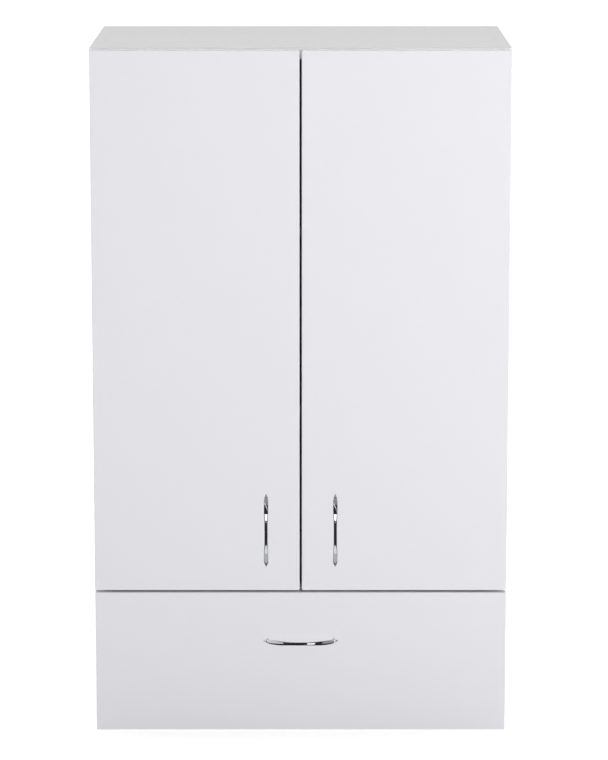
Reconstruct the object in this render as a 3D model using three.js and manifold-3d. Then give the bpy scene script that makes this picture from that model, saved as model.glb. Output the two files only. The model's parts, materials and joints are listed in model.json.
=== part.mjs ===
// Wall-hung storage cabinet: two full-overlay doors above one drawer, in high-gloss white, with bow handles.
// Units are millimetres. X runs to the right, the front faces -Y and Z is up.
// The origin is the centre of the footprint, on the underside.

import * as THREE from "three";
import { mergeVertices } from "three/addons/utils/BufferGeometryUtils.js";
import Module from "manifold-3d";

const wasm = await Module();
wasm.setup();

// ---------------------------------------------------------------- driving dimensions

const WIDTH = 600;
const HEIGHT = 1000;
const DEPTH = 350; // carcass alone, without the fronts
const BOARD = 16; // thickness of every carcass board
const BACK_BOARD = 4;
const BACK_RECESS = 18; // space behind the back panel for the wall rail

const FRONT_THICKNESS = 16; // doors and drawer front
const FRONT_AIR = 2.5; // between the carcass and the back of the fronts
const FRONT_EDGE = 1; // how far the fronts stay inside the cabinet's outline at the sides
const FRONT_ROUNDING = 1.6;
const REVEAL = 3; // gap between neighbouring fronts
const DOOR_TOP = HEIGHT - 1.5;
const DOOR_BOTTOM = 212;
const DRAWER_FRONT_BOTTOM = 0.5;
const DIVIDER_TOP = 218;

const HANDLE_LENGTH = 110;
const HANDLE_SPACING = 96; // between its two screws
const HANDLE_PROJECTION = 21.5;
const DOOR_HANDLE_X = 50; // from the middle of the cabinet
const DOOR_HANDLE_Z = 302;
const DRAWER_HANDLE_Z = 137;

const SHELF_PIN_HEIGHTS = [460, 722];
const PIN_ROW_PITCH = 32;
const PIN_FROM_FRONT = 50;
const PIN_FROM_REAR = 72;

const HINGE_HEIGHTS = { lower: 312, upper: 898.5 };
const PIVOT_FROM_SIDE = 8.6; // hinge pivot, inward from the outer face of the side board
const PIVOT_FROM_CARCASS = 12.5; // hinge pivot, outward from the carcass front

const SLIDE_LENGTH = 300;
const SLIDE_HEIGHT = 45;
const SLIDE_THICKNESS = 12.7;
const SLIDE_GAUGE = 1.2;
const SLIDE_Z = 99;

const DRAWER_BOARD = 12;
const DRAWER_BOTTOM_BOARD = 4;
const DRAWER_BOX_BEHIND = 50; // space between the drawer box and the cabinet's rear
const DRAWER_BOX_BOTTOM = 34;
const DRAWER_BOX_TOP = 164;

const CLEAR = 0.3; // air between pieces that fit into each other

// ---------------------------------------------------------------- positions that follow from them

const REAR = (DEPTH + FRONT_AIR + FRONT_THICKNESS + HANDLE_PROJECTION) / 2;
const CARCASS_FRONT = REAR - DEPTH;
const FRONT_BACK = CARCASS_FRONT - FRONT_AIR;
const FRONT_FACE = FRONT_BACK - FRONT_THICKNESS;
const SIDE_OUTER = WIDTH / 2;
const SIDE_INNER = SIDE_OUTER - BOARD;
const FRONT_SIDE = SIDE_OUTER - FRONT_EDGE;
const DRAWER_FRONT_TOP = DOOR_BOTTOM - REVEAL;
const BACK_PANEL_REAR = REAR - BACK_RECESS;
const BACK_PANEL_FRONT = BACK_PANEL_REAR - BACK_BOARD;
const GROOVE_DEPTH = 6;
const CABINET_REACH = [CARCASS_FRONT, REAR];
const DRAWER_BOX_REAR = REAR - DRAWER_BOX_BEHIND;

// ---------------------------------------------------------------- materials

function finish(color, roughness, metalness = 0) {
  return new THREE.MeshStandardMaterial({ color, roughness, metalness });
}

const glossWhite = finish(0xeceaf0, 0.08);
const boardWhite = finish(0xe4e3e6, 0.45);
const backWhite = finish(0xdcdbdd, 0.6);
const chrome = finish(0xc4c5c8, 0.08, 1);
const nickel = finish(0xbfc1c4, 0.25, 1);
const zincSteel = finish(0xa9adb1, 0.35, 1);
const greyPlastic = finish(0xc9cbcc, 0.5);
const clearRubber = finish(0xdfe2e2, 0.35);

// ---------------------------------------------------------------- solids

function toSolid(geometry) {
  const bare = geometry.index ? geometry.toNonIndexed() : geometry.clone();
  bare.deleteAttribute("normal");
  bare.deleteAttribute("uv");
  const merged = mergeVertices(bare, 1e-3);
  const mesh = new wasm.Mesh({
    numProp: 3,
    vertProperties: merged.attributes.position.array,
    triVerts: new Uint32Array(merged.index.array),
  });
  return new wasm.Manifold(mesh);
}

function toGeometry(solid) {
  const mesh = solid.getMesh();
  const geometry = new THREE.BufferGeometry();
  geometry.setAttribute("position", new THREE.BufferAttribute(mesh.vertProperties, 3));
  geometry.setIndex(new THREE.BufferAttribute(mesh.triVerts, 1));
  geometry.computeVertexNormals();
  return geometry;
}

function join(...geometries) {
  return toGeometry(geometries.map(toSolid).reduce((whole, piece) => whole.add(piece)));
}

function cut(geometry, ...tools) {
  return toGeometry(tools.map(toSolid).reduce((rest, tool) => rest.subtract(tool), toSolid(geometry)));
}

// A block from its low and high limits along each axis.
function block([x0, x1], [y0, y1], [z0, z1]) {
  const geometry = new THREE.BoxGeometry(x1 - x0, y1 - y0, z1 - z0);
  return geometry.translate((x0 + x1) / 2, (y0 + y1) / 2, (z0 + z1) / 2);
}

// A round rod along one axis, from low to high, centred on (a, b) in the other two axes in X, Y, Z order.
function rod(axis, radius, [low, high], [a, b], sides) {
  const geometry = new THREE.CylinderGeometry(radius, radius, high - low, sides);
  const middle = (low + high) / 2;
  if (axis === "x") return geometry.rotateZ(Math.PI / 2).translate(middle, a, b);
  if (axis === "z") return geometry.rotateX(Math.PI / 2).translate(a, b, middle);
  return geometry.translate(a, middle, b);
}

// An outline swept along one axis: it is drawn in the other two axes, in X, Y, Z order.
function prism(axis, outline, [low, high], options = {}) {
  const shape = new THREE.Shape(outline.map(([a, b]) => new THREE.Vector2(a, b)));
  const geometry = new THREE.ExtrudeGeometry(shape, { depth: high - low, bevelEnabled: false, ...options });
  const X = new THREE.Vector3(1, 0, 0);
  const Y = new THREE.Vector3(0, 1, 0);
  const Z = new THREE.Vector3(0, 0, 1);
  const turn = new THREE.Matrix4();
  if (axis === "x") {
    turn.makeBasis(Y, Z, X);
    return geometry.applyMatrix4(turn).translate(low, 0, 0);
  }
  if (axis === "y") {
    turn.makeBasis(X, Z, Y.clone().negate());
    return geometry.applyMatrix4(turn).translate(0, high, 0);
  }
  return geometry.translate(0, 0, low);
}

// A front board with its four edges rounded towards both faces.
function frontBoard([x0, x1], [z0, z1]) {
  const r = FRONT_ROUNDING;
  const outline = [
    [x0 + r, z0 + r],
    [x1 - r, z0 + r],
    [x1 - r, z1 - r],
    [x0 + r, z1 - r],
  ];
  const bevel = { bevelEnabled: true, bevelThickness: r, bevelSize: r, bevelSegments: 3 };
  return prism("y", outline, [FRONT_FACE + r, FRONT_BACK - r], bevel);
}

// Replaces each inner corner of a centre line by a smooth bend that starts and ends at most `reach` from it.
function softenCorners(points, reach, steps = 4) {
  const corners = points.map(([a, b]) => new THREE.Vector2(a, b));
  const line = [corners[0]];
  for (let i = 1; i < corners.length - 1; i += 1) {
    const towards = (other) => {
      const span = other.clone().sub(corners[i]);
      return corners[i].clone().add(span.setLength(Math.min(reach, span.length() * 0.45)));
    };
    const bend = new THREE.QuadraticBezierCurve(towards(corners[i - 1]), corners[i], towards(corners[i + 1]));
    line.push(...bend.getPoints(steps));
  }
  line.push(corners[corners.length - 1]);
  return line;
}

// The outline of a flat strip of even thickness around a centre line.
function stripOutline(line, thickness) {
  const left = [];
  const right = [];
  line.forEach((point, i) => {
    const before = line[Math.max(i - 1, 0)];
    const after = line[Math.min(i + 1, line.length - 1)];
    const along = after.clone().sub(before).normalize();
    const across = new THREE.Vector2(-along.y, along.x).multiplyScalar(thickness / 2);
    left.push(point.clone().add(across).toArray());
    right.unshift(point.clone().sub(across).toArray());
  });
  return [...left, ...right];
}

// ---------------------------------------------------------------- scene graph

const cabinet = new THREE.Group();
const rightHalf = new THREE.Group();
const leftHalf = new THREE.Group();
leftHalf.scale.x = -1; // everything on the left is the mirror image of the right
cabinet.add(rightHalf, leftHalf);

function addTo(group, name, geometry, material) {
  const mesh = new THREE.Mesh(geometry, material.clone());
  mesh.name = name;
  group.add(mesh);
  return mesh;
}

function addPair(name, geometry, material) {
  addTo(leftHalf, `left_${name}`, geometry, material);
  addTo(rightHalf, `right_${name}`, geometry, material);
}

// ---------------------------------------------------------------- carcass

const PIN_RADIUS = 2.5;
const PIN_HOLE_RADIUS = 2.8;
const PIN_HOLE_DEPTH = 8.5;
const PIN_COLUMNS = [CARCASS_FRONT + PIN_FROM_FRONT, REAR - PIN_FROM_REAR];
const GROOVE = [BACK_PANEL_FRONT - CLEAR, BACK_PANEL_REAR + CLEAR];
const GROOVE_BOTTOM = GROOVE_DEPTH + CLEAR;

function sideBoard() {
  const board = block([SIDE_INNER, SIDE_OUTER], CABINET_REACH, [0, HEIGHT]);
  const grooveEnd = BOARD - GROOVE_BOTTOM;
  const groove = block([SIDE_INNER - 1, SIDE_INNER + GROOVE_BOTTOM], GROOVE, [grooveEnd, HEIGHT - grooveEnd]);
  const holes = [];
  for (const pinZ of SHELF_PIN_HEIGHTS) {
    for (const row of [-1, 0, 1]) {
      for (const y of PIN_COLUMNS) {
        const span = [SIDE_INNER - 1, SIDE_INNER + PIN_HOLE_DEPTH];
        holes.push(rod("x", PIN_HOLE_RADIUS, span, [y, pinZ + row * PIN_ROW_PITCH], 10));
      }
    }
  }
  return cut(board, groove, ...holes);
}

// Top or bottom board, with the back panel's groove in the face at grooveZ.
function endBoard([z0, z1], grooveZ) {
  const across = [-SIDE_INNER, SIDE_INNER];
  const grooveAcross = [-SIDE_INNER - 1, SIDE_INNER + 1];
  const groove = block(grooveAcross, GROOVE, [grooveZ - GROOVE_BOTTOM, grooveZ + GROOVE_BOTTOM]);
  return cut(block(across, CABINET_REACH, [z0, z1]), groove);
}

// Openings in the back panel that the hanger hooks pass through.
const HOOK_WINDOW_X = [250, 280];
const HOOK_WINDOW_Z = [935, 975];

function backPanel() {
  const reach = SIDE_INNER + GROOVE_DEPTH;
  const margin = BOARD - GROOVE_DEPTH;
  const thickness = [BACK_PANEL_FRONT, BACK_PANEL_REAR];
  const through = [BACK_PANEL_FRONT - 1, BACK_PANEL_REAR + 1];
  const windows = [HOOK_WINDOW_X, HOOK_WINDOW_X.map((x) => -x).reverse()];
  return cut(
    block([-reach, reach], thickness, [margin, HEIGHT - margin]),
    ...windows.map((span) => block(span, through, HOOK_WINDOW_Z)),
  );
}

addPair("side", sideBoard(), boardWhite);
addTo(cabinet, "top_panel", endBoard([HEIGHT - BOARD, HEIGHT], HEIGHT - BOARD), boardWhite);
addTo(cabinet, "bottom_panel", endBoard([0, BOARD], BOARD), boardWhite);
const dividerReach = [CARCASS_FRONT, BACK_PANEL_FRONT - 0.5];
const dividerHeights = [DIVIDER_TOP - BOARD, DIVIDER_TOP];
addTo(cabinet, "divider", block([-SIDE_INNER, SIDE_INNER], dividerReach, dividerHeights), boardWhite);
addTo(cabinet, "back_panel", backPanel(), backWhite);

// ---------------------------------------------------------------- shelves and their pins

const SHELF_END_GAP = 1.5;
const SHELF_SETBACK = 24;
const SHELF_REACH = [CARCASS_FRONT + SHELF_SETBACK, BACK_PANEL_FRONT - 4];
const SHELF_LIFT = PIN_RADIUS + 0.1; // a shelf's underside above the middle of its pins

// A shelf pin turned about X, with its round end at x = 0 and its plug towards +X.
function shelfPin() {
  const profile = [
    [0, 0],
    [PIN_RADIUS - 0.5, 0],
    [PIN_RADIUS, 0.5],
    [PIN_RADIUS, 6],
    [PIN_RADIUS + 1, 6],
    [PIN_RADIUS + 1, 7],
    [PIN_RADIUS, 7],
    [PIN_RADIUS, 15],
    [0, 15],
  ];
  const points = profile.map(([radius, along]) => new THREE.Vector2(radius, along));
  return new THREE.LatheGeometry(points, 10).rotateZ(-Math.PI / 2);
}

const pinGeometry = toGeometry(toSolid(shelfPin()));
const shelfAcross = [-SIDE_INNER + SHELF_END_GAP, SIDE_INNER - SHELF_END_GAP];
const SHELF_NAMES = ["lower", "upper"];
SHELF_PIN_HEIGHTS.forEach((pinZ, level) => {
  const shelfName = SHELF_NAMES[level];
  const bottom = pinZ + SHELF_LIFT;
  addTo(cabinet, `${shelfName}_shelf`, block(shelfAcross, SHELF_REACH, [bottom, bottom + BOARD]), boardWhite);
  PIN_COLUMNS.forEach((y, column) => {
    const place = ["front", "rear"][column];
    const placed = pinGeometry.clone().translate(SIDE_INNER - 7, y, pinZ);
    addPair(`${shelfName}_${place}_shelf_pin`, placed, nickel);
  });
});

// ---------------------------------------------------------------- wall hangers

const HANGER_X = [256, SIDE_INNER];
const HANGER_Z = [925, HEIGHT - BOARD - CLEAR];
const HANGER_Y = [REAR - 54, BACK_PANEL_FRONT - 0.5];
const HOOK_X = [259, 277];
const HOOK_GAUGE = 3;
const HOOK_BEARING_Z = 958; // underside of the hook, which rests on the wall rail
const HOOK_TIP_Y = REAR - 4;
const HOOK_LIP_DROP = 13;
const HOOK_ROOT_Y = REAR - 41;

function hangerHousing() {
  const slotX = [HOOK_X[0] - 0.5, HOOK_X[1] + 0.5];
  const slotZ = [HOOK_BEARING_Z - HOOK_LIP_DROP - 3, HOOK_BEARING_Z + HOOK_GAUGE + 6];
  const slot = block(slotX, [HOOK_ROOT_Y - 2, HANGER_Y[1] + 1], slotZ);
  const screwWells = [934, 974].map((z) => rod("y", 3.2, [HANGER_Y[0] - 1, HANGER_Y[0] + 7], [268, z], 12));
  return cut(block(HANGER_X, HANGER_Y, HANGER_Z), slot, ...screwWells);
}

function hangerHook() {
  const top = HOOK_BEARING_Z + HOOK_GAUGE;
  const lipBottom = HOOK_BEARING_Z - HOOK_LIP_DROP;
  const outline = [
    [HOOK_ROOT_Y, lipBottom],
    [HOOK_ROOT_Y + HOOK_GAUGE, lipBottom],
    [HOOK_ROOT_Y + HOOK_GAUGE, HOOK_BEARING_Z],
    [HOOK_TIP_Y - HOOK_GAUGE, HOOK_BEARING_Z],
    [HOOK_TIP_Y - HOOK_GAUGE, lipBottom],
    [HOOK_TIP_Y, lipBottom],
    [HOOK_TIP_Y, top - 1],
    [HOOK_TIP_Y - 1, top],
    [HOOK_ROOT_Y, top],
  ];
  return prism("x", outline, HOOK_X);
}

addPair("hanger_housing", hangerHousing(), greyPlastic);
addPair("hanger_hook", hangerHook(), zincSteel);

// ---------------------------------------------------------------- hinges
// Places on a hinge are given as u, inward from the side board's outer face, and v, outward from the carcass
// front, and turned into x and y for the right-hand side of the cabinet.

const fromSide = (u) => SIDE_OUTER - u;
const fromCarcass = (v) => CARCASS_FRONT - v;
const PIVOT = [fromSide(PIVOT_FROM_SIDE), fromCarcass(PIVOT_FROM_CARCASS)];

const CUP_FROM_SIDE = 22.5;
const CUP_RADIUS = 17.5;
const CUP_WALL = 1;
const CUP_DEPTH = 12.9;
const CUP_FLOOR = 0.7;
const CUP_FLANGE = 1;
const CUP_SCREW_REACH = 21;
const CUP_BORE_RADIUS = CUP_RADIUS + CLEAR;
const CUP_BORE_DEPTH = CUP_DEPTH + CLEAR;
const CUP_SIDES = 32;

const HINGE_PIN_RADIUS = 0.9;
const HINGE_PIN_REACH = 9.6; // half of its length
const KNUCKLE_RADIUS = 1.8;
const KNUCKLE_HOLE_RADIUS = 1.2;
const NECK_GAUGE = 1.6;
const NECK_HALF_WIDTH = 4;
const ARM_HALF_WIDTH = 9.2;
const ARM_TOP_FROM_SIDE = 33;
const ARM_REACH = [-66, -9];
const PLATE_SCREW_FROM_FRONT = 37;
const PLATE_SCREW_REACH = 16;
const PLATE_GAUGE = 3;

function hingeCup(z) {
  const centre = [fromSide(CUP_FROM_SIDE), z];
  const floorY = FRONT_BACK - CUP_DEPTH;
  const flangeY = [FRONT_BACK + 0.1, FRONT_BACK + 0.1 + CUP_FLANGE];
  const x = centre[0];
  const wingHalf = 6;
  const body = join(
    rod("y", CUP_RADIUS, [floorY, flangeY[1] - 0.3], centre, CUP_SIDES),
    rod("y", CUP_RADIUS + 1, flangeY, centre, CUP_SIDES),
    block([x - wingHalf, x + wingHalf], flangeY, [z - CUP_SCREW_REACH, z + CUP_SCREW_REACH]),
    rod("y", wingHalf, flangeY, [x, z - CUP_SCREW_REACH], 16),
    rod("y", wingHalf, flangeY, [x, z + CUP_SCREW_REACH], 16),
  );
  return cut(
    body,
    rod("y", CUP_RADIUS - CUP_WALL, [floorY + CUP_FLOOR, flangeY[1] + 1], centre, CUP_SIDES),
    rod("z", HINGE_PIN_RADIUS + 0.2, [z - HINGE_PIN_REACH - 0.4, z + HINGE_PIN_REACH + 0.4], PIVOT, 12),
  );
}

function hingePin(z) {
  return rod("z", HINGE_PIN_RADIUS, [z - HINGE_PIN_REACH, z + HINGE_PIN_REACH], PIVOT, 10);
}

// The curved neck that carries the pivot out of the carcass and into the cup, drawn as u, v.
const NECK_LINE = [
  [PIVOT_FROM_SIDE, PIVOT_FROM_CARCASS],
  [21, 13.2],
  [26.5, 2.5],
  [29.5, -6],
  [ARM_TOP_FROM_SIDE - NECK_GAUGE / 2, -12],
  [ARM_TOP_FROM_SIDE - NECK_GAUGE / 2, -20],
];

function hingeArm(z) {
  const line = softenCorners(NECK_LINE.map(([u, v]) => [fromSide(u), fromCarcass(v)]), 2.5);
  const neck = prism("z", stripOutline(line, NECK_GAUGE), [z - NECK_HALF_WIDTH, z + NECK_HALF_WIDTH]);
  const knuckle = rod("z", KNUCKLE_RADIUS, [z - NECK_HALF_WIDTH, z + NECK_HALF_WIDTH], PIVOT, 14);
  const reach = [fromCarcass(ARM_REACH[1]), fromCarcass(ARM_REACH[0])];
  const top = [fromSide(ARM_TOP_FROM_SIDE), fromSide(ARM_TOP_FROM_SIDE - NECK_GAUGE)];
  const wallX = [top[0], fromSide(21)];
  const body = join(
    neck,
    knuckle,
    block(top, reach, [z - ARM_HALF_WIDTH, z + ARM_HALF_WIDTH]),
    block(wallX, reach, [z - ARM_HALF_WIDTH, z - ARM_HALF_WIDTH + NECK_GAUGE]),
    block(wallX, reach, [z + ARM_HALF_WIDTH - NECK_GAUGE, z + ARM_HALF_WIDTH]),
  );
  const through = [top[0] - 1, top[1] + 1];
  const screwHoles = [-28, -56].map((v) => rod("x", 2.8, through, [fromCarcass(v), z], 12));
  const pinHole = rod("z", KNUCKLE_HOLE_RADIUS, [z - 6, z + 6], PIVOT, 14);
  return cut(body, pinHole, ...screwHoles);
}

function hingePlate(z) {
  const screwY = fromCarcass(-PLATE_SCREW_FROM_FRONT);
  const sheet = [SIDE_INNER - PLATE_GAUGE, SIDE_INNER];
  const wingHalf = 6;
  const footHalf = 7.5;
  const footY = [fromCarcass(-20), fromCarcass(-62)];
  const ridgeY = [footY[0] + 3, footY[1] - 3];
  const body = join(
    block(sheet, footY, [z - footHalf, z + footHalf]),
    block(sheet, [screwY - wingHalf, screwY + wingHalf], [z - PLATE_SCREW_REACH, z + PLATE_SCREW_REACH]),
    rod("x", wingHalf, sheet, [screwY, z - PLATE_SCREW_REACH], 16),
    rod("x", wingHalf, sheet, [screwY, z + PLATE_SCREW_REACH], 16),
    block([SIDE_INNER - PLATE_GAUGE - 10, SIDE_INNER - 1], ridgeY, [z - 6, z + 6]),
  );
  const through = [sheet[0] - 1, sheet[1] + 1];
  const holes = [-1, 1].map((end) => rod("x", 2.3, through, [screwY, z + end * PLATE_SCREW_REACH], 12));
  return cut(body, ...holes);
}

for (const [place, z] of Object.entries(HINGE_HEIGHTS)) {
  addPair(`${place}_hinge_plate`, hingePlate(z), nickel);
  addPair(`${place}_hinge_arm`, hingeArm(z), nickel);
  addPair(`${place}_hinge_cup`, hingeCup(z), nickel);
  addPair(`${place}_hinge_pin`, hingePin(z), zincSteel);
}

// ---------------------------------------------------------------- handles

// A slim bow with leaf-shaped ends, along Z about the origin, standing out towards -Y from the plane y = 0.
const LEAF_START = 0.22; // along each half of the bow: 0 at its middle and 1 at its tip
const LEAF_FULL = 0.66;
const TIP_START = 0.8;
const BOW_HALF_WIDTH = 2.4;
const LEAF_HALF_WIDTH = 3.3;
const BOW_HALF_THICKNESS = 1.6;
const LEAF_HALF_THICKNESS = 1.3;
const BOW_TIP_RISE = 1.6;
const BOW_POWER = 2.8;

function bowSection(along) {
  const a = Math.abs(along);
  const swell = THREE.MathUtils.smoothstep(a, LEAF_START, LEAF_FULL);
  const taper = Math.max(0, (a - TIP_START) / (1 - TIP_START)) ** 1.8;
  const halfWidth = THREE.MathUtils.lerp(BOW_HALF_WIDTH, LEAF_HALF_WIDTH, swell) * (1 - taper);
  const halfThickness = THREE.MathUtils.lerp(BOW_HALF_THICKNESS, LEAF_HALF_THICKNESS, swell) * (1 - 0.7 * taper);
  const outside = BOW_TIP_RISE + (HANDLE_PROJECTION - BOW_TIP_RISE) * (1 - a ** BOW_POWER);
  return { halfWidth, halfThickness, middle: -(outside - halfThickness) };
}

function bow() {
  const stations = 30;
  const sides = 12;
  const points = [];
  const faces = [];
  const half = HANDLE_LENGTH / 2;
  for (let i = 0; i <= stations; i += 1) {
    const along = -Math.cos((Math.PI * i) / stations);
    const section = bowSection(along);
    if (i === 0 || i === stations) {
      points.push(0, section.middle, along * half);
      continue;
    }
    for (let j = 0; j < sides; j += 1) {
      const angle = (2 * Math.PI * j) / sides;
      const x = section.halfWidth * Math.cos(angle);
      points.push(x, section.middle + section.halfThickness * Math.sin(angle), along * half);
    }
  }
  const ringStart = (i) => 1 + (i - 1) * sides;
  const lastPoint = ringStart(stations);
  for (let j = 0; j < sides; j += 1) {
    const next = (j + 1) % sides;
    faces.push(0, ringStart(1) + next, ringStart(1) + j);
    for (let i = 1; i < stations - 1; i += 1) {
      const a = ringStart(i) + j;
      const b = ringStart(i) + next;
      const c = ringStart(i + 1) + next;
      const d = ringStart(i + 1) + j;
      faces.push(a, b, c, a, c, d);
    }
    faces.push(ringStart(stations - 1) + j, ringStart(stations - 1) + next, lastPoint);
  }
  const geometry = new THREE.BufferGeometry();
  geometry.setAttribute("position", new THREE.Float32BufferAttribute(points, 3));
  geometry.setIndex(faces);
  return geometry;
}

function bowHandle() {
  const footAlong = HANDLE_SPACING / HANDLE_LENGTH;
  const footReach = bowSection(footAlong).middle;
  const feet = [-1, 1].map((end) => rod("y", 2.5, [footReach, 0], [0, (end * HANDLE_SPACING) / 2], 14));
  return join(bow(), ...feet);
}

const handleGeometry = bowHandle();

// ---------------------------------------------------------------- doors

const HANDLE_SCREW_HOLE_RADIUS = 2.3;
const BUMPER_RADIUS = 3.5;
const BUMPER_THICKNESS = 1.8;

function bumper(x, z) {
  return rod("y", BUMPER_RADIUS, [FRONT_BACK, FRONT_BACK + BUMPER_THICKNESS], [x, z], 16);
}

function door() {
  const boreY = [FRONT_BACK - CUP_BORE_DEPTH, FRONT_BACK + 1];
  const through = [FRONT_FACE - 1, FRONT_BACK + 1];
  const bores = Object.values(HINGE_HEIGHTS).map((z) =>
    rod("y", CUP_BORE_RADIUS, boreY, [fromSide(CUP_FROM_SIDE), z], CUP_SIDES),
  );
  const screwHoles = [-1, 1].map((end) => {
    const z = DOOR_HANDLE_Z + (end * HANDLE_SPACING) / 2;
    return rod("y", HANDLE_SCREW_HOLE_RADIUS, through, [DOOR_HANDLE_X, z], 12);
  });
  return cut(frontBoard([REVEAL / 2, FRONT_SIDE], [DOOR_BOTTOM, DOOR_TOP]), ...bores, ...screwHoles);
}

const doorHandle = handleGeometry.clone().translate(DOOR_HANDLE_X, FRONT_FACE, DOOR_HANDLE_Z);
const DOOR_BUMPER_X = 14;
addPair("door", door(), glossWhite);
addPair("door_handle", doorHandle, chrome);
addPair("upper_door_bumper", bumper(DOOR_BUMPER_X, HEIGHT - BOARD / 2), clearRubber);
addPair("lower_door_bumper", bumper(DOOR_BUMPER_X, DOOR_BOTTOM + 4), clearRubber);

// ---------------------------------------------------------------- drawer

const DRAWER_OUTER = SIDE_INNER - SLIDE_THICKNESS - CLEAR;
const DRAWER_INNER = DRAWER_OUTER - DRAWER_BOARD;
const DRAWER_BOX_FRONT = FRONT_BACK + 0.2;
const DRAWER_GROOVE_DEPTH = 5;
const DRAWER_BOTTOM_Z = 44;
const DRAWER_GROOVE_Z = [DRAWER_BOTTOM_Z - CLEAR, DRAWER_BOTTOM_Z + DRAWER_BOTTOM_BOARD + CLEAR];
const DRAWER_HEIGHTS = [DRAWER_BOX_BOTTOM, DRAWER_BOX_TOP];
const DRAWER_ACROSS = [-DRAWER_INNER + CLEAR, DRAWER_INNER - CLEAR];

function drawerFront() {
  const through = [FRONT_FACE - 1, FRONT_BACK + 1];
  const holes = [-1, 1].map((end) =>
    rod("y", HANDLE_SCREW_HOLE_RADIUS, through, [(end * HANDLE_SPACING) / 2, DRAWER_HANDLE_Z], 12),
  );
  return cut(frontBoard([-FRONT_SIDE, FRONT_SIDE], [DRAWER_FRONT_BOTTOM, DRAWER_FRONT_TOP]), ...holes);
}

function drawerSide() {
  const reach = [DRAWER_BOX_FRONT, DRAWER_BOX_REAR];
  const board = block([DRAWER_INNER, DRAWER_OUTER], reach, DRAWER_HEIGHTS);
  const grooveX = [DRAWER_INNER - 1, DRAWER_INNER + DRAWER_GROOVE_DEPTH + CLEAR];
  return cut(board, block(grooveX, [reach[0] - 1, reach[1] + 1], DRAWER_GROOVE_Z));
}

function drawerBoxFront() {
  const y = [DRAWER_BOX_FRONT, DRAWER_BOX_FRONT + DRAWER_BOARD];
  const grooveY = [y[1] - DRAWER_GROOVE_DEPTH - CLEAR, y[1] + 1];
  const board = block(DRAWER_ACROSS, y, DRAWER_HEIGHTS);
  const screwHoles = [-1, 1].map((end) =>
    rod("y", 5, [y[0] - 1, y[1] + 1], [(end * HANDLE_SPACING) / 2, DRAWER_HANDLE_Z], 12),
  );
  return cut(board, block([-DRAWER_OUTER, DRAWER_OUTER], grooveY, DRAWER_GROOVE_Z), ...screwHoles);
}

const bottomAcross = DRAWER_INNER + DRAWER_GROOVE_DEPTH;
const bottomFront = DRAWER_BOX_FRONT + DRAWER_BOARD - DRAWER_GROOVE_DEPTH;
const bottomTop = DRAWER_BOTTOM_Z + DRAWER_BOTTOM_BOARD;
const backHeights = [bottomTop + 0.4, DRAWER_BOX_TOP];
const backReach = [DRAWER_BOX_REAR - DRAWER_BOARD, DRAWER_BOX_REAR];
const DRAWER_BUMPER_Z = DRAWER_FRONT_TOP - 9;

addTo(cabinet, "drawer_front", drawerFront(), glossWhite);
addTo(cabinet, "drawer_box_front", drawerBoxFront(), boardWhite);
addPair("drawer_side", drawerSide(), boardWhite);
addTo(cabinet, "drawer_back", block(DRAWER_ACROSS, backReach, backHeights), boardWhite);
const bottomBoard = block(
  [-bottomAcross, bottomAcross],
  [bottomFront, DRAWER_BOX_REAR],
  [DRAWER_BOTTOM_Z, bottomTop],
);
addTo(cabinet, "drawer_bottom", bottomBoard, backWhite);
addPair("drawer_bumper", bumper(SIDE_OUTER - BOARD / 2, DRAWER_BUMPER_Z), clearRubber);

const drawerHandle = addTo(cabinet, "drawer_handle", handleGeometry, chrome);
drawerHandle.rotation.y = Math.PI / 2;
drawerHandle.position.set(0, FRONT_FACE, DRAWER_HANDLE_Z);

// ---------------------------------------------------------------- drawer slides

const SLIDE_REACH = [CARCASS_FRONT + 4, CARCASS_FRONT + 4 + SLIDE_LENGTH];
const RACE_GAP = 1.5; // from the cabinet member's flange to the middle member's
const MEMBER_STEP = SLIDE_GAUGE + RACE_GAP;

// A C section along the slide, from its web at webX to the open edges of its flanges.
function slideMember(webX, openX, halfHeight) {
  const web = webX + Math.sign(openX - webX) * SLIDE_GAUGE;
  const inside = halfHeight - SLIDE_GAUGE;
  const outline = [
    [webX, SLIDE_Z - halfHeight],
    [openX, SLIDE_Z - halfHeight],
    [openX, SLIDE_Z - inside],
    [web, SLIDE_Z - inside],
    [web, SLIDE_Z + inside],
    [openX, SLIDE_Z + inside],
    [openX, SLIDE_Z + halfHeight],
    [webX, SLIDE_Z + halfHeight],
  ];
  return prism("y", outline, SLIDE_REACH);
}

const slideOpen = SIDE_INNER - SLIDE_THICKNESS + 2;
const drawerWeb = SIDE_INNER - SLIDE_THICKNESS;
const drawerMemberHalf = SLIDE_HEIGHT / 2 - 2 * MEMBER_STEP - 0.6;
addPair("cabinet_slide", slideMember(SIDE_INNER, slideOpen, SLIDE_HEIGHT / 2), zincSteel);
addPair("middle_slide", slideMember(SIDE_INNER - 2.6, slideOpen, SLIDE_HEIGHT / 2 - MEMBER_STEP), zincSteel);
addPair("drawer_slide", slideMember(drawerWeb, SIDE_INNER - 4.8, drawerMemberHalf), zincSteel);

export default cabinet;
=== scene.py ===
"""Looks, small fittings, light and camera for a white high-gloss wall cabinet with two doors and a drawer."""

import json
import math

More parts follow.
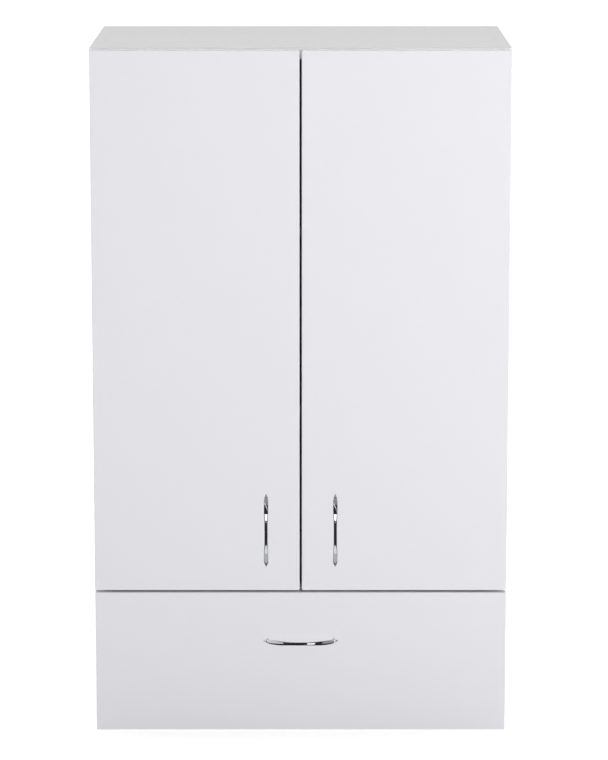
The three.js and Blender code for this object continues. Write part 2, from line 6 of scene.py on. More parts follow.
import bpy
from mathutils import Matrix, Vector


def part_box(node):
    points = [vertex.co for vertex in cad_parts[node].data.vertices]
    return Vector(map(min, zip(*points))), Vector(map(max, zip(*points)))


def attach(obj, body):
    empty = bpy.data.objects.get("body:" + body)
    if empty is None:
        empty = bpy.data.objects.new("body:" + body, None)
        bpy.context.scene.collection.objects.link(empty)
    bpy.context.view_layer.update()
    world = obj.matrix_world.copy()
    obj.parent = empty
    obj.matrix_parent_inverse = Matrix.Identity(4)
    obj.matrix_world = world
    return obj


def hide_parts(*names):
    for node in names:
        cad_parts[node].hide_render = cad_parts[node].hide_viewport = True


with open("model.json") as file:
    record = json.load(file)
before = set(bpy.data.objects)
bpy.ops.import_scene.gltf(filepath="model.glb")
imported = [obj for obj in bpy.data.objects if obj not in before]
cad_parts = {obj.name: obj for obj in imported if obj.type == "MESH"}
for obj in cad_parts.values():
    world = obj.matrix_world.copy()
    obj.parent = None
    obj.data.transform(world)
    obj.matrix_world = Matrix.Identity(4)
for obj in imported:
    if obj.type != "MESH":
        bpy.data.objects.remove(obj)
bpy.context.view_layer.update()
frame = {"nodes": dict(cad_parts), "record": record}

NODES = frame["nodes"]
BODY_OF = {node: body for body, nodes in frame["record"]["behaviour"]["bodies"].items() for node in nodes}
SLOT_OF = {part["node"]: part["material_slot"] for part in frame["record"]["subparts"]}
MM = 0.001

# ---------------------------------------------------------------- places read from the frame

DOOR_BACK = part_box("right_door")[1].y
DOOR_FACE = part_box("right_door")[0].y
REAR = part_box("right_side")[1].y
BACK_PANEL_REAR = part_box("back_panel")[1].y
SIDES = {"left": -1, "right": 1}
HINGE_PLACES = ("lower", "upper")

UP = (0, 0, 1)
DOWN = (0, 0, -1)
FORWARD = (0, -1, 0)
REARWARD = (0, 1, 0)
LEFTWARD = (-1, 0, 0)
RIGHTWARD = (1, 0, 0)


def centre(node):
    """The middle of a CAD node's box."""
    low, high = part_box(node)
    return (low + high) / 2


# ---------------------------------------------------------------- material building blocks


class Look:
    """A node material on one Principled shader, with helpers that add procedural detail to it."""

    def __init__(self, name, colour, roughness, metallic=0.0, **constants):
        self.material = bpy.data.materials.new(name)
        self.material.use_nodes = True
        self.nodes = self.material.node_tree.nodes
        self.links = self.material.node_tree.links
        self.shader = self.nodes["Principled BSDF"]
        self.place = self.nodes.new("ShaderNodeTexCoord").outputs["Object"]
        self.shader.inputs["Base Color"].default_value = (*colour, 1)
        self.shader.inputs["Roughness"].default_value = roughness
        self.shader.inputs["Metallic"].default_value = metallic
        for socket, value in constants.items():
            self.shader.inputs[socket.replace("_", " ")].default_value = value

    def noise(self, per_metre, detail=3.0, stretch=None):
        """Cloudy noise from 0 to 1, with its main features about 1/per_metre apart."""
        texture = self.nodes.new("ShaderNodeTexNoise")
        texture.inputs["Scale"].default_value = per_metre
        texture.inputs["Detail"].default_value = detail
        place = self.place
        if stretch:
            mapping = self.nodes.new("ShaderNodeMapping")
            mapping.inputs["Scale"].default_value = stretch
            self.links.new(place, mapping.inputs["Vector"])
            place = mapping.outputs["Vector"]
        self.links.new(place, texture.inputs["Vector"])
        return texture.outputs["Fac"]

    def spread(self, factor, low, high, start=0.3, end=0.7):
        """Maps a factor between start and end onto low to high."""
        node = self.nodes.new("ShaderNodeMapRange")
        for socket, value in (("From Min", start), ("From Max", end), ("To Min", low), ("To Max", high)):
            node.inputs[socket].default_value = value
        self.links.new(factor, node.inputs["Value"])
        return node.outputs["Result"]

    def blend(self, factor, first, second):
        """A colour between two colours, each given as numbers or as another node's output."""
        node = self.nodes.new("ShaderNodeMix")
        node.data_type = "RGBA"
        self.links.new(factor, node.inputs["Factor"])
        for socket, value in (("A", first), ("B", second)):
            target = [s for s in node.inputs if s.name == socket and s.type == "RGBA"][0]
            if isinstance(value, bpy.types.NodeSocket):
                self.links.new(value, target)
            else:
                target.default_value = (*value, 1)
        return [s for s in node.outputs if s.type == "RGBA"][0]

    def mix_number(self, factor, first, second):
        """A number between two numbers or outputs."""
        node = self.nodes.new("ShaderNodeMix")
        self.links.new(factor, node.inputs["Factor"])
        for index, value in ((2, first), (3, second)):
            if isinstance(value, bpy.types.NodeSocket):
                self.links.new(value, node.inputs[index])
            else:
                node.inputs[index].default_value = value
        return node.outputs[0]

    def behind(self, y):
        """1 on what lies behind the plane y, 0 in front of it."""
        axes = self.nodes.new("ShaderNodeSeparateXYZ")
        self.links.new(self.place, axes.inputs["Vector"])
        test = self.nodes.new("ShaderNodeMath")
        test.operation = "GREATER_THAN"
        test.inputs[1].default_value = y
        self.links.new(axes.outputs["Y"], test.inputs[0])
        return test.outputs["Value"]

    def colour(self, output):
        self.links.new(output, self.shader.inputs["Base Color"])

    def roughness(self, output):
        self.links.new(output, self.shader.inputs["Roughness"])

    def bump(self, height, distance, strength=1.0):
        node = self.nodes.new("ShaderNodeBump")
        node.inputs["Distance"].default_value = distance
        node.inputs["Strength"].default_value = strength
        self.links.new(height, node.inputs["Height"])
        self.links.new(node.outputs["Normal"], self.shader.inputs["Normal"])


def tint(colour, share):
    """The colour made lighter or darker by a share of itself."""
    return tuple(min(1.0, channel * (1 + share)) for channel in colour)


# ---------------------------------------------------------------- materials

EDGE_MARGIN = 0.2 * MM
LACQUER = (0.795, 0.79, 0.828)
MELAMINE = (0.735, 0.735, 0.742)


def gloss_lacquer():
    """High-gloss white front: hard clear coat in front, satin melamine on the back face."""
    look = Look("gloss_white_lacquer", LACQUER, 0.2, Coat_Weight=1.0, Coat_Roughness=0.03, Coat_IOR=1.5)
    look.colour(look.blend(look.noise(2.5), tint(LACQUER, -0.012), tint(LACQUER, 0.012)))
    polish = look.spread(look.noise(14, 4), 0.14, 0.22)
    look.roughness(look.mix_number(look.behind(DOOR_BACK - EDGE_MARGIN), polish, 0.42))
    look.bump(look.noise(160, 2), 0.006 * MM, 0.35)
    return look.material


def chipboard(look):
    """Pressed wood chips: the colour of an edge that has no band."""
    coarse = look.noise(420, 4, stretch=(1, 1, 0.45))
    fine = look.noise(1500, 2)
    chips = look.blend(look.spread(coarse, 0, 1, 0.38, 0.62), (0.34, 0.23, 0.13), (0.62, 0.47, 0.3))
    return look.blend(look.spread(fine, 0, 0.45, 0.5, 0.75), chips, (0.2, 0.13, 0.07))


def melamine_board():
    """White melamine on particle board, with raw chips where the rear edges are not banded."""
    look = Look("white_melamine", MELAMINE, 0.38, Coat_Weight=0.0)
    white = look.blend(look.noise(6, 4), tint(MELAMINE, -0.02), tint(MELAMINE, 0.015))
    raw = look.behind(REAR - EDGE_MARGIN)
    look.colour(look.blend(raw, white, chipboard(look)))
    look.roughness(look.mix_number(raw, look.spread(look.noise(90, 5), 0.33, 0.43), 0.85))
    look.bump(look.noise(1400, 3), 0.02 * MM, 0.5)
    return look.material


def hardboard():
    """Thin hardboard: painted white inside, raw pressed fibre outside."""
    look = Look("white_hardboard", (0.72, 0.72, 0.725), 0.5)
    white = look.blend(look.noise(9, 4), (0.7, 0.7, 0.705), (0.735, 0.735, 0.74))
    fibre = look.spread(look.noise(700, 5, stretch=(1, 1, 0.5)), 0, 1, 0.35, 0.65)
    brown = look.blend(fibre, (0.27, 0.18, 0.105), (0.38, 0.27, 0.17))
    raw = look.behind(BACK_PANEL_REAR - EDGE_MARGIN)
    look.colour(look.blend(raw, white, brown))
    look.roughness(look.mix_number(raw, 0.48, 0.8))
    look.bump(look.noise(900, 4), 0.03 * MM, 0.6)
    return look.material


def metal(name, colour, rough_low, rough_high, stretch=None, grain=0.0):
    """Bare or plated metal with uneven polish and, if asked, a drawn grain."""
    look = Look(name, colour, rough_low, metallic=1.0)
    look.colour(look.blend(look.noise(30, 3), tint(colour, -0.04), tint(colour, 0.03)))
    look.roughness(look.spread(look.noise(260, 5, stretch), rough_low, rough_high))
    if grain:
        look.bump(look.noise(1800, 3, stretch), grain)
    return look.material


def zinc():
    """Zinc-plated steel with a faint bluish crystal pattern."""
    look = Look("zinc_plated_steel", (0.62, 0.64, 0.67), 0.35, metallic=1.0)
    crystals = look.nodes.new("ShaderNodeTexVoronoi")
    crystals.inputs["Scale"].default_value = 220
    look.links.new(look.place, crystals.inputs["Vector"])
    look.colour(look.blend(crystals.outputs["Color"], (0.57, 0.59, 0.62), (0.67, 0.69, 0.72)))
    look.roughness(look.spread(look.noise(300, 4), 0.28, 0.4))
    look.bump(look.noise(900, 3), 0.01 * MM)
    return look.material


def plastic():
    """Light grey moulded plastic with a fine spark-eroded texture."""
    look = Look("grey_plastic", (0.6, 0.6, 0.61), 0.45)
    look.colour(look.blend(look.noise(40, 3), (0.58, 0.58, 0.59), (0.62, 0.62, 0.63)))
    look.roughness(look.spread(look.noise(500, 3), 0.4, 0.52))
    look.bump(look.noise(2200, 2), 0.03 * MM)
    return look.material


def soft_clear():
    """Clear soft bumper."""
    colour = (0.8, 0.83, 0.83)
    look = Look("clear_bumper", colour, 0.2, Transmission_Weight=0.55, IOR=1.45)
    look.colour(look.blend(look.noise(300, 3), tint(colour, -0.03), tint(colour, 0.03)))
    look.roughness(look.spread(look.noise(800, 3), 0.18, 0.3))
    return look.material


LOOKS = {
    "front_gloss_white": gloss_lacquer(),
    "board_white": melamine_board(),
    "back_white": hardboard(),
    "handle_chrome": metal("polished_chrome", (0.56, 0.565, 0.575), 0.04, 0.07),
    "nickel_steel": metal("nickel_plate", (0.71, 0.69, 0.66), 0.2, 0.3, grain=0.004 * MM),
    "zinc_steel": zinc(),
    "grey_plastic": plastic(),
    "clear_bumper": soft_clear(),
}


# ---------------------------------------------------------------- CAD nodes: finish and soft edges

ROUND_EDGE = 1.5 * MM  # the fronts' edges; clamping would shrink it at their small screw holes
BEVEL = {
    "front_gloss_white": ROUND_EDGE,
    "board_white": 0.35 * MM,
    "back_white": 0.2 * MM,
    "nickel_steel": 0.25 * MM,
    "zinc_steel": 0.2 * MM,
    "grey_plastic": 0.8 * MM,
    "clear_bumper": 0.7 * MM,
}
BEVEL_ANGLE = math.radians(42)


def soften(node, width):
    """Rounds a CAD node's sharp edges and smooths its shading; its own mesh stays as it is."""
    mesh = node.data
    if "custom_normal" in mesh.attributes:
        mesh.attributes.remove(mesh.attributes["custom_normal"])
    mesh.shade_smooth()
    weld = node.modifiers.new("weld", "WELD")
    weld.merge_threshold = 0.005 * MM
    flat = node.modifiers.new("merge_flat_faces", "DECIMATE")
    flat.decimate_type = "DISSOLVE"
    flat.angle_limit = math.radians(0.5)
    bevel = node.modifiers.new("round_edges", "BEVEL")
    bevel.width = width
    bevel.use_clamp_overlap = width < ROUND_EDGE
    bevel.segments = 3
    bevel.limit_method = "ANGLE"
    bevel.angle_limit = BEVEL_ANGLE
    normals = node.modifiers.new("even_shading", "WEIGHTED_NORMAL")
    normals.weight = 100
    normals.thresh = 0.01


for name, node in NODES.items():
    slot = SLOT_OF[name]
    node.data.materials.clear()
    node.data.materials.append(LOOKS[slot])
    if slot in BEVEL:
        soften(node, BEVEL[slot])


# ---------------------------------------------------------------- mesh building


def loft(rings):
    """Vertices and faces of a closed skin over rings of equal length; a ring of one point closes an end."""
    points = [point for ring in rings for point in ring]
    starts = []
    total = 0
    for ring in rings:
        starts.append(total)
        total += len(ring)
    count = max(len(ring) for ring in rings)
    faces = []
    for lower, upper, start, after in zip(rings, rings[1:], starts, starts[1:]):
        for i in range(count):
            j = (i + 1) % count
            if len(lower) == 1:
                faces.append((start, after + j, after + i))
            elif len(upper) == 1:
                faces.append((start + i, start + j, after))
            else:
                faces.append((start + i, start + j, after + j, after + i))
    return points, faces


def circle(radius, height, sides):
    """A ring of points about Z; a radius of zero gives one point."""
    if radius == 0:
        return [Vector((0, 0, height))]
    turn = [2 * math.pi * i / sides for i in range(sides)]
    return [Vector((radius * math.cos(a), radius * math.sin(a), height)) for a in turn]


def lathe(profile, sides=32):
    """A solid of revolution about Z from radius and height pairs, bottom to top."""
    return loft([circle(radius, height, sides) for radius, height in profile])


def box_faces(low, high):
    """Vertices and faces of a plain block."""
    xs, ys, zs = ((low[i], high[i]) for i in range(3))
    points = [Vector((x, y, z)) for x in xs for y in ys for z in zs]
    faces = [(0, 1, 3, 2), (4, 6, 7, 5), (0, 4, 5, 1), (2, 3, 7, 6), (0, 2, 6, 4), (1, 5, 7, 3)]
    return points, faces


def add_piece(name, points, faces, slot, body, crease=35):
    """A new visible piece that rides on a body and takes its finish from a material slot."""
    mesh = bpy.data.meshes.new(name)
    mesh.from_pydata([tuple(point) for point in points], [], faces)
    mesh.update()
    mesh.materials.append(LOOKS[slot])
    mesh.shade_smooth()
    mesh.set_sharp_from_angle(angle=math.radians(crease))
    piece = bpy.data.objects.new(name, mesh)
    bpy.context.scene.collection.objects.link(piece)
    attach(piece, body)
    return piece


def stand(points, foot, axis):
    """Points built about +Z, moved so that they stand on foot and point along axis."""
    turn = Vector((0, 0, 1)).rotation_difference(Vector(axis))
    return [Vector(foot) + turn @ point for point in points]


# ---------------------------------------------------------------- fasteners

RECESS_ANGLES = [quarter * 90 + step for quarter in range(4) for step in (-45, -30, -14, 0, 14, 30)]


def recess_ring(radius, height):
    """The outline of a cross recess, with one point at each of the recess angles."""
    arm_length = 0.56 * radius
    arm_half_width = arm_length * math.tan(math.radians(14))
    ring = []
    for degrees in RECESS_ANGLES:
        off_arm = math.radians((degrees + 45) % 90 - 45)
        reach = arm_length / math.cos(off_arm)
        if abs(math.degrees(off_arm)) > 14.5:
            reach = arm_half_width / abs(math.sin(off_arm))
        angle = math.radians(degrees)
        ring.append(Vector((reach * math.cos(angle), reach * math.sin(angle), height)))
    return ring


def head_ring(radius, height):
    """A round ring with its points at the recess angles."""
    angles = [math.radians(degrees) for degrees in RECESS_ANGLES]
    return [Vector((radius * math.cos(a), radius * math.sin(a), height)) for a in angles]


def screw_head(name, foot, axis, radius, height, body, slot="zinc_steel"):
    """A pan-head screw's head with a cross recess, standing on a surface."""
    rings = [
        [Vector((0, 0, 0))],
        head_ring(radius, 0),
        head_ring(radius, height * 0.4),
        head_ring(radius * 0.93, height * 0.75),
        head_ring(radius * 0.76, height * 0.95),
        head_ring(radius * 0.62, height),
        recess_ring(radius * 0.98, height),
        recess_ring(radius * 0.86, height * 0.25),
        [Vector((0, 0, height * 0.1))],
    ]
    points, faces = loft(rings)
    return add_piece(name, stand(points, foot, axis), faces, slot, body, crease=40)


FRONT_HOLE_LINE = 37 * MM  # from the carcass front to the first row of fitting holes
PLATE_THICKNESS = 3 * MM
CUP_SCREW_REACH = 21 * MM  # from a cup's middle to the screws in its wings
PLATE_SCREW_REACH = 16 * MM
ADJUSTER_DEPTHS = {"side": 28 * MM, "depth": 56 * MM}
ADJUSTER_SINK = 0.8 * MM
LOW_AND_HIGH = ((-1, "low"), (1, "high"))


def inner_face(node, sign):
    """X of a node's face towards the middle of the cabinet, on the side that sign gives."""
    low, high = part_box(node)
    return low.x if sign > 0 else high.x


def hinge_screws():
    """Two screws in each cup's wings, two in each mounting plate and two adjusters in each arm."""
    for side, sign in SIDES.items():
        inward = (-sign, 0, 0)
        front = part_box(f"{side}_side")[0].y
        plate_face = inner_face(f"{side}_side", sign) - sign * PLATE_THICKNESS
        for place in HINGE_PLACES:
            prefix = f"{side}_{place}_hinge"
            cup = centre(f"{prefix}_cup")
            flange_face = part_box(f"{prefix}_cup")[1].y
            arm_face = inner_face(f"{prefix}_arm", sign)
            for end, label in LOW_AND_HIGH:
                on_cup = (cup.x, flange_face, cup.z + end * CUP_SCREW_REACH)
                name = f"{prefix}_cup_screw_{label}"
                screw_head(name, on_cup, REARWARD, 3.6 * MM, 0.9 * MM, f"{side}_door")
                on_plate = (plate_face, front + FRONT_HOLE_LINE, cup.z + end * PLATE_SCREW_REACH)
                name = f"{prefix}_plate_screw_{label}"
                screw_head(name, on_plate, inward, 3.7 * MM, 1.8 * MM, "carcass")
            for label, depth in ADJUSTER_DEPTHS.items():
                on_arm = (arm_face + sign * ADJUSTER_SINK, front + depth, cup.z)
                screw_head(f"{prefix}_{label}_adjuster", on_arm, inward, 2.7 * MM, 1.4 * MM, "carcass")


hinge_screws()

HANDLE_SPACING = 96 * MM


def handle_screws():
    """The machine screws that hold the handles, seen from behind the fronts."""
    for side in SIDES:
        handle = centre(f"{side}_door_handle")
        for end, label in LOW_AND_HIGH:
            foot = (handle.x, DOOR_BACK, handle.z + end * HANDLE_SPACING / 2)
            screw_head(f"{side}_handle_screw_{label}", foot, REARWARD, 4.2 * MM, 2.1 * MM, f"{side}_door")
    handle = centre("drawer_handle")
    for end, label in ((-1, "left"), (1, "right")):
        foot = (handle.x + end * HANDLE_SPACING / 2, DOOR_BACK, handle.z)
        screw_head(f"drawer_handle_screw_{label}", foot, REARWARD, 4.2 * MM, 2.1 * MM, "drawer")


handle_screws()


BOX_SCREW_INSET = 50 * MM  # from the ends of the drawer's box front
BOX_SCREW_RISE = 32 * MM
BOX_SCREW_DROP = 26 * MM
SLIDE_WALL = 1.2 * MM
SLIDE_SCREW_SHARES = (0.12, 0.5, 0.88)  # along the drawer member


def drawer_screws():
    """Screws through the box front into the drawer front, and through the slides into the drawer sides."""
    low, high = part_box("drawer_box_front")
    for x, side in ((low.x + BOX_SCREW_INSET, "left"), (high.x - BOX_SCREW_INSET, "right")):
        for z, label in ((low.z + BOX_SCREW_RISE, "low"), (high.z - BOX_SCREW_DROP, "high")):
            name = f"drawer_front_screw_{side}_{label}"
            screw_head(name, (x, high.y, z), REARWARD, 3.8 * MM, 1.7 * MM, "drawer")
    for side, sign in SIDES.items():
        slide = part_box(f"{side}_drawer_slide")
        web = inner_face(f"{side}_drawer_slide", sign) + sign * SLIDE_WALL
        for index, share in enumerate(SLIDE_SCREW_SHARES):
            y = slide[0].y + share * (slide[1].y - slide[0].y)
            foot = (web, y, centre(f"{side}_drawer_slide").z)
            screw_head(f"{side}_slide_screw_{index + 1}", foot, (sign, 0, 0), 3.4 * MM, 1.3 * MM, "drawer")


drawer_screws()


HANGER_SCREW_X = 268 * MM
HANGER_SCREW_HEIGHTS = {"low": 934 * MM, "high": 974 * MM}
HANGER_WELL_DEPTH = 6.5 * MM


def hanger_screws():
    """The height and depth adjusters in the wells of the hanger housings."""
    for side, sign in SIDES.items():
        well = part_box(f"{side}_hanger_housing")[0].y + HANGER_WELL_DEPTH
        for label, z in HANGER_SCREW_HEIGHTS.items():
            foot = (sign * HANGER_SCREW_X, well, z)
            screw_head(f"{side}_hanger_screw_{label}", foot, FORWARD, 2.9 * MM, 3 * MM, "carcass")


hanger_screws()


# ---------------------------------------------------------------- slides and cabinet fittings

BALL_RADIUS = 0.72 * MM
BALL_PITCH = 9 * MM
BALLS = 12
BALL_ARC_STEPS = 6
CAGE_X = 4 * MM  # from the middle member's open edge to the row of balls
CAGE_START = 14 * MM  # from the middle member's front end to the first ball
CAGE_LEAD = 5 * MM
CAGE_HALF_WIDTH = 2.6 * MM
CAGE_HALF_THICKNESS = 0.15 * MM
CABINET_SLIDE_HOLES = (37 * MM, 133 * MM, 261 * MM)


def ball_cage(side, sign, level, z):
    """A row of balls in a thin steel cage, in the race between a slide's outer and middle members."""
    x = inner_face(f"{side}_middle_slide", sign) + sign * CAGE_X
    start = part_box(f"{side}_middle_slide")[0].y + CAGE_START
    points, faces = box_faces(
        (x - CAGE_HALF_WIDTH, start - CAGE_LEAD, z - CAGE_HALF_THICKNESS),
        (x + CAGE_HALF_WIDTH, start + BALLS * BALL_PITCH, z + CAGE_HALF_THICKNESS),
    )
    profile = [(0, -BALL_RADIUS)]
    for step in range(1, BALL_ARC_STEPS):
        turn = math.radians(-90 + step * 180 / BALL_ARC_STEPS)
        profile.append((BALL_RADIUS * math.cos(turn), BALL_RADIUS * math.sin(turn)))
    profile.append((0, BALL_RADIUS))
    ball_points, ball_faces = lathe(profile, sides=12)
    for index in range(BALLS):
        middle = Vector((x, start + index * BALL_PITCH, z))
        first = len(points)
        points += [point + middle for point in ball_points]
        faces += [tuple(first + corner for corner in face) for face in ball_faces]
    add_piece(f"{side}_ball_cage_{level}", points, faces, "zinc_steel", f"{side}_slide_middle")


def slide_fittings():
    """Ball cages, and the flat screws that hold the cabinet members to the side boards."""
    for side, sign in SIDES.items():
        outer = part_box(f"{side}_cabinet_slide")
        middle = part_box(f"{side}_middle_slide")
        ball_cage(side, sign, "upper", (outer[1].z - SLIDE_WALL + middle[1].z) / 2)
        ball_cage(side, sign, "lower", (outer[0].z + SLIDE_WALL + middle[0].z) / 2)
        web = outer[1].x - SLIDE_WALL if sign > 0 else outer[0].x + SLIDE_WALL
        z = centre(f"{side}_cabinet_slide").z
        for index, reach in enumerate(CABINET_SLIDE_HOLES):
            foot = (web, outer[0].y + reach, z)
            name = f"{side}_cabinet_slide_screw_{index + 1}"
            screw_head(name, foot, (-sign, 0, 0), 3.3 * MM, 0.8 * MM, "carcass")


slide_fittings()


COVER_OUTLINE = ((0, 0), (8.6, 0), (8.6, 0.3), (8, 0.8), (7, 1), (0, 1))  # radius and height, mm
COVER_DEPTH = 60 * MM  # from the carcass front, and from the back panel
COVER_INSET = 34 * MM  # from the side board, the length of a cam bolt


def cam_covers():
    """Thin plastic covers over the cam fittings: under the two upper fixed boards, on top of the lowest."""
    profile = [(radius * MM, height * MM) for radius, height in COVER_OUTLINE]
    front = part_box("right_side")[0].y + COVER_DEPTH
    rear = BACK_PANEL_REAR - COVER_DEPTH
    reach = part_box("right_side")[0].x - COVER_INSET
    for board in ("top_panel", "divider", "bottom_panel"):
        low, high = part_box(board)
        height, axis = (high.z, UP) if board == "bottom_panel" else (low.z, DOWN)
        for side, sign in SIDES.items():
            for y, place in ((front, "front"), (rear, "rear")):
                points, faces = lathe(profile)
                foot = (sign * reach, y, height)
                name = f"{board}_{side}_{place}_cam_cover"
                add_piece(name, stand(points, foot, axis), faces, "board_white", "carcass")


cam_covers()


# ---------------------------------------------------------------- edge bands

BAND_PROUD = 0.25 * MM
BAND_INSET = 0.2 * MM
BAND_ROUNDING = 0.2 * MM
BANDED_BOARDS = (
    "left_side",
    "right_side",
    "top_panel",
    "bottom_panel",
    "divider",
    "lower_shelf",
    "upper_shelf",
)


def edge_band(node):
    """A thin glued band on a board's front edge, which leaves a fine seam around it."""
    low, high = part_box(node)
    start = (low.x + BAND_INSET, low.y - BAND_PROUD, low.z + BAND_INSET)
    end = (high.x - BAND_INSET, low.y + BAND_PROUD, high.z - BAND_INSET)
    points, faces = box_faces(start, end)
    band = add_piece(f"{node}_edge_band", points, faces, "board_white", BODY_OF[node])
    bevel = band.modifiers.new("round_edges", "BEVEL")
    bevel.width = BAND_ROUNDING
    bevel.segments = 2
    return band


EDGE_BANDS = {board: edge_band(board) for board in BANDED_BOARDS}


# ---------------------------------------------------------------- handles

HANDLE_LENGTH = 110 * MM
HANDLE_PROJECTION = 21.5 * MM
BOW_HALF_WIDTH = 2.4 * MM
LEAF_HALF_WIDTH = 3.3 * MM
BOW_HALF_THICKNESS = 1.6 * MM
LEAF_HALF_THICKNESS = 1.3 * MM
LEAF_START = 0.22  # along each half of the bow: 0 at its middle and 1 at its tip
LEAF_FULL = 0.66
TIP_START = 0.8
BOW_TIP_RISE = 1.6 * MM
BOW_POWER = 2.8
FOOT_OUTLINE = ((0, 0), (2.6, 0), (2.5, 0.4))  # radius and height of a foot's base, mm
FOOT_TOP_RADIUS = 2.4 * MM


def bow_section(along):
    """Half width, half thickness and height above the front, from -1 at one tip to 1 at the other."""
    a = abs(along)
    t = min(1.0, max(0.0, (a - LEAF_START) / (LEAF_FULL - LEAF_START)))
    swell = t * t * (3 - 2 * t)
    taper = max(0.0, (a - TIP_START) / (1 - TIP_START)) ** 1.8
    half_width = (BOW_HALF_WIDTH + (LEAF_HALF_WIDTH - BOW_HALF_WIDTH) * swell) * (1 - taper)
    thickness = BOW_HALF_THICKNESS + (LEAF_HALF_THICKNESS - BOW_HALF_THICKNESS) * swell
    half_thickness = thickness * (1 - 0.7 * taper)
    outside = BOW_TIP_RISE + (HANDLE_PROJECTION - BOW_TIP_RISE) * (1 - a**BOW_POWER)
    return half_width, half_thickness, outside - half_thickness


def bow_rings(stations=120, sides=40):
    """Rings along the bow, which lies along X with its outside towards +Z."""
    rings = []
    for i in range(stations + 1):
        along = -math.cos(math.pi * i / stations)
        half_width, half_thickness, middle = bow_section(along)
        x = along * HANDLE_LENGTH / 2
        if i in (0, stations):
            rings.append([Vector((x, 0, middle))])
            continue
        turn = [2 * math.pi * j / sides for j in range(sides)]
        rings.append(
            [Vector((x, half_width * math.cos(a), middle + half_thickness * math.sin(a))) for a in turn]
        )
    return rings


def union(piece, others):
    """Joins other pieces into one, leaving a single skin, and removes them."""
    for other in others:
        modifier = piece.modifiers.new("join", "BOOLEAN")
        modifier.operation = "UNION"
        modifier.solver = "EXACT"
        modifier.object = other
    bpy.context.view_layer.update()
    evaluated = piece.evaluated_get(bpy.context.evaluated_depsgraph_get())
    joined = bpy.data.meshes.new_from_object(evaluated)
    piece.modifiers.clear()
    piece.data = joined
    for other in others:
        bpy.data.objects.remove(other)
    joined.shade_smooth()
    joined.set_sharp_from_angle(angle=math.radians(35))


def bow_handle(node, upright):
    """A chrome bow handle with two feet, in place of the plainer CAD one."""
    body = BODY_OF[node]
    middle = centre(node)
    place = Vector((middle.x, DOOR_FACE, middle.z))
    along = Vector((0, 0, 1)) if upright else Vector((1, 0, 0))
    out = Vector((0, -1, 0))
    across = out.cross(along)

    def placed(points):
        return [place + along * p.x + across * p.y + out * p.z for p in points]

    points, faces = loft(bow_rings())
    handle = add_piece(f"{node}_bow", placed(points), faces, "handle_chrome", body)
    feet = []
    top = bow_section(HANDLE_SPACING / HANDLE_LENGTH)[2]
    profile = [(radius * MM, height * MM) for radius, height in FOOT_OUTLINE]
    profile += [(FOOT_TOP_RADIUS, top), (0, top)]
    for end in (-1, 1):
        foot_points, foot_faces = lathe(profile)
        shifted = [p + Vector((end * HANDLE_SPACING / 2, 0, 0)) for p in foot_points]
        feet.append(add_piece(f"{node}_foot", placed(shifted), foot_faces, "handle_chrome", body))
    union(handle, feet)
    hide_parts(node)
    return handle


HANDLE_PIECES = [
    bow_handle("left_door_handle", upright=True),
    bow_handle("right_door_handle", upright=True),
    bow_handle("drawer_handle", upright=False),
]


# ---------------------------------------------------------------- stage, light and camera

FLOOR_REACH = 40.0
FLOOR_GLOW = 0.5
FLAG_REACH = 12.0
FLAG_LIFT = 3 * MM

# The surround's brightness in the directions in front of and behind the cabinet, and where it changes.
WORLD_FRONT = 0.03
WORLD_REAR = 1.09
WORLD_RAMP_START = -0.5
WORLD_RAMP_END = 0.2

# Softboxes that light the fronts without showing in them: place, width and height, brightness.
SOFTBOX_TARGET = (0, 0, 0.5)
SOFTBOXES = (
    ("key_softbox", (1.3, -2.0, 1.1), (2.0, 2.0), 1.78),
    ("fill_softbox", (-0.4, -3.2, 0.8), (4.4, 3.4), 0.63),
)


def flat_sheet(name, half_width, front, rear, height):
    """A level rectangle, centred in X, that belongs to the studio."""
    corners = [(-half_width, front), (half_width, front), (half_width, rear), (-half_width, rear)]
    mesh = bpy.data.meshes.new(name)
    mesh.from_pydata([(x, y, height) for x, y in corners], [], [(0, 1, 2, 3)])
    sheet = bpy.data.objects.new(name, mesh)
    bpy.context.scene.collection.objects.link(sheet)
    return sheet


def floor():
    """A wide pale floor that glows a little, so that it fades into the white surround."""
    surface = flat_sheet("studio_floor", FLOOR_REACH, -FLOOR_REACH, FLOOR_REACH, 0)
    look = Look("studio_floor", (0.9, 0.9, 0.9), 0.7, Emission_Strength=FLOOR_GLOW)
    look.shader.inputs["Emission Color"].default_value = (1, 1, 1, 1)
    look.colour(look.blend(look.noise(0.5), (0.895, 0.895, 0.895), (0.905, 0.905, 0.905)))
    surface.data.materials.append(look.material)


def surround():
    """White surround that is darker in front of the cabinet, as an open studio is."""
    world = bpy.data.worlds.new("studio")
    bpy.context.scene.world = world
    world.use_nodes = True
    nodes = world.node_tree.nodes
    links = world.node_tree.links
    direction = nodes.new("ShaderNodeTexCoord").outputs["Generated"]
    axes = nodes.new("ShaderNodeSeparateXYZ")
    links.new(direction, axes.inputs["Vector"])
    ramp = nodes.new("ShaderNodeMapRange")
    ramp.interpolation_type = "SMOOTHSTEP"
    ramp.inputs["From Min"].default_value = WORLD_RAMP_START
    ramp.inputs["From Max"].default_value = WORLD_RAMP_END
    ramp.inputs["To Min"].default_value = WORLD_FRONT
    ramp.inputs["To Max"].default_value = WORLD_REAR
    links.new(axes.outputs["Y"], ramp.inputs["Value"])
    links.new(ramp.outputs["Result"], nodes["Background"].inputs["Strength"])
    nodes["Background"].inputs["Color"].default_value = (1, 1, 1, 1)


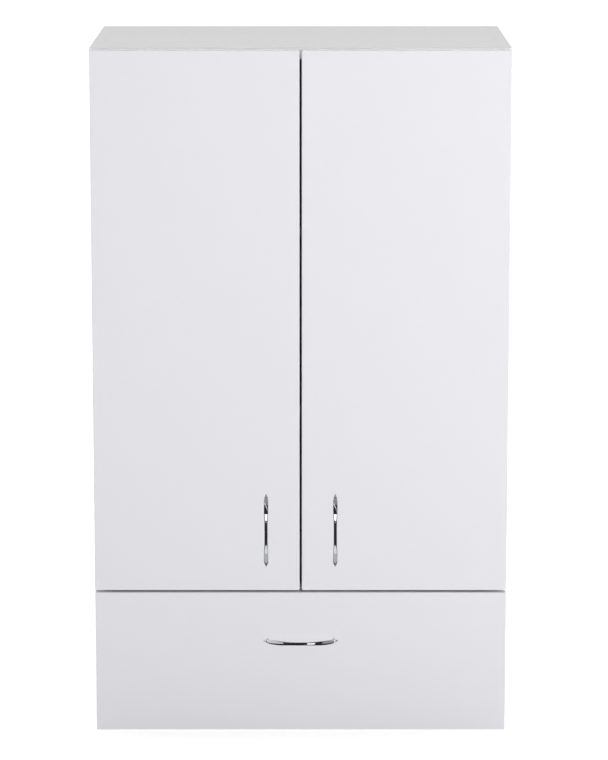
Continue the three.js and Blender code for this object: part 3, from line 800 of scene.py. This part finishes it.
def softbox(name, place, target, size, brightness, only=None):
    """A rectangular area light of even brightness aimed at a point; it may be kept to one collection."""
    width, height = size
    data = bpy.data.lights.new(name, "AREA")
    data.shape = "RECTANGLE"
    data.size = width
    data.size_y = height
    data.energy = brightness * math.pi * width * height
    light = bpy.data.objects.new(name, data)
    light.location = place
    light.rotation_euler = (Vector(target) - Vector(place)).to_track_quat("-Z", "Y").to_euler()
    light.visible_camera = False
    if only:
        light.light_linking.receiver_collection = only
    bpy.context.scene.collection.objects.link(light)
    return light


def floor_flag():
    """A dark mat on the floor in front, which shows only as a reflection in the polished parts."""
    flag = flat_sheet("floor_flag", FLAG_REACH, -FLAG_REACH, DOOR_FACE, FLAG_LIFT)
    look = Look("floor_flag", (0.02, 0.02, 0.02), 0.8)
    look.colour(look.blend(look.noise(3), (0.018, 0.018, 0.018), (0.022, 0.022, 0.022)))
    flag.data.materials.append(look.material)
    flag.visible_camera = False
    flag.visible_diffuse = False
    flag.visible_shadow = False


# Panels that only the polished handles mirror: middle, facing, width and height, brightness.
DOOR_HANDLE_PANELS = {
    "ahead_panel": ((0, -1.2, 0.52), REARWARD, (1.8, 0.32), 2.4),
    "overhead_panel": ((0, -0.75, 1.3), DOWN, (2.0, 0.6), 0.4),
    "far_foot_panel": ((0, -0.52, 0.004), UP, (0.8, 0.28), 1.15),
    "near_foot_panel": ((0, -0.28, 0.004), UP, (0.8, 0.2), 0.7),
}
DRAWER_HANDLE_PANELS = {
    "left_panel": ((-0.26, -0.41, 0.2), RIGHTWARD, (0.46, 0.39), 0.9),
    "spot_panel": ((0.058, -0.39, 0.105), REARWARD, (0.064, 0.19), 2.4),
    "right_panel": ((0.26, -0.325, 0.2), LEFTWARD, (0.27, 0.39), 0.4),
}


STREAK_PLACE = (0, -1.2, 1.24)
STREAK_TARGET = (0, -0.19, 0.33)
STREAK_SIZE = (2.4, 0.08)
STREAK_BRIGHTNESS = 1.6
STREAK_TURN = math.radians(-20)


def handle_reflectors():
    """Sets the panels up for the handles alone, which throw no shadow on the fronts."""
    groups = (
        ("door_handles", HANDLE_PIECES[:2], DOOR_HANDLE_PANELS),
        ("drawer_handles", HANDLE_PIECES[2:], DRAWER_HANDLE_PANELS),
    )
    for group, pieces, panels in groups:
        mirrors = bpy.data.collections.new(group)
        for piece in pieces:
            mirrors.objects.link(piece)
            piece.visible_shadow = False
            piece.visible_diffuse = False
        for name, (place, facing, size, brightness) in panels.items():
            softbox(name, place, Vector(place) + Vector(facing), size, brightness, mirrors)
    mirrors = bpy.data.collections["door_handles"]
    streak = softbox("streak_panel", STREAK_PLACE, STREAK_TARGET, STREAK_SIZE, STREAK_BRIGHTNESS, mirrors)
    streak.rotation_euler.rotate_axis("Z", STREAK_TURN)


EDGE_PANEL_PLACE = (0, -1.0, 1.6)
EDGE_PANEL_SIZE = (2.4, 0.6)
EDGE_BRIGHTNESS = 1.6


def top_edge_light():
    """Light for the front edges of the top and side boards alone, which the doors would keep dark."""
    lit = bpy.data.collections.new("top_front_edge")
    for board in ("top_panel", "left_side", "right_side"):
        lit.objects.link(EDGE_BANDS[board])
    target = (0, DOOR_BACK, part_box("top_panel")[1].z)
    light = softbox("edge_panel", EDGE_PANEL_PLACE, target, EDGE_PANEL_SIZE, EDGE_BRIGHTNESS, lit)
    light.light_linking.blocker_collection = lit


CAMERA_PLACE = (0.0048, -4.698, 1.433)
CAMERA_TILT = 9.935  # degrees below the horizon
SENSOR_WIDTH = 36  # mm
FOCAL_SHARE = 3210 / 760  # focal length over the picture's long side
FRAME_SHIFT = -80 / 760  # share of the long side that the frame is lowered by


def camera():
    data = bpy.data.cameras.new("camera")
    data.sensor_width = SENSOR_WIDTH
    data.lens = SENSOR_WIDTH * FOCAL_SHARE
    data.shift_y = FRAME_SHIFT
    view = bpy.data.objects.new("camera", data)
    view.location = CAMERA_PLACE
    view.rotation_euler = (math.radians(90 - CAMERA_TILT), 0, 0)
    bpy.context.scene.collection.objects.link(view)
    bpy.context.scene.camera = view


floor()
surround()
floor_flag()
handle_reflectors()
top_edge_light()
for name, place, size, brightness in SOFTBOXES:
    softbox(name, place, SOFTBOX_TARGET, size, brightness).visible_glossy = False
camera()
bpy.context.scene.view_settings.view_transform = "Standard"
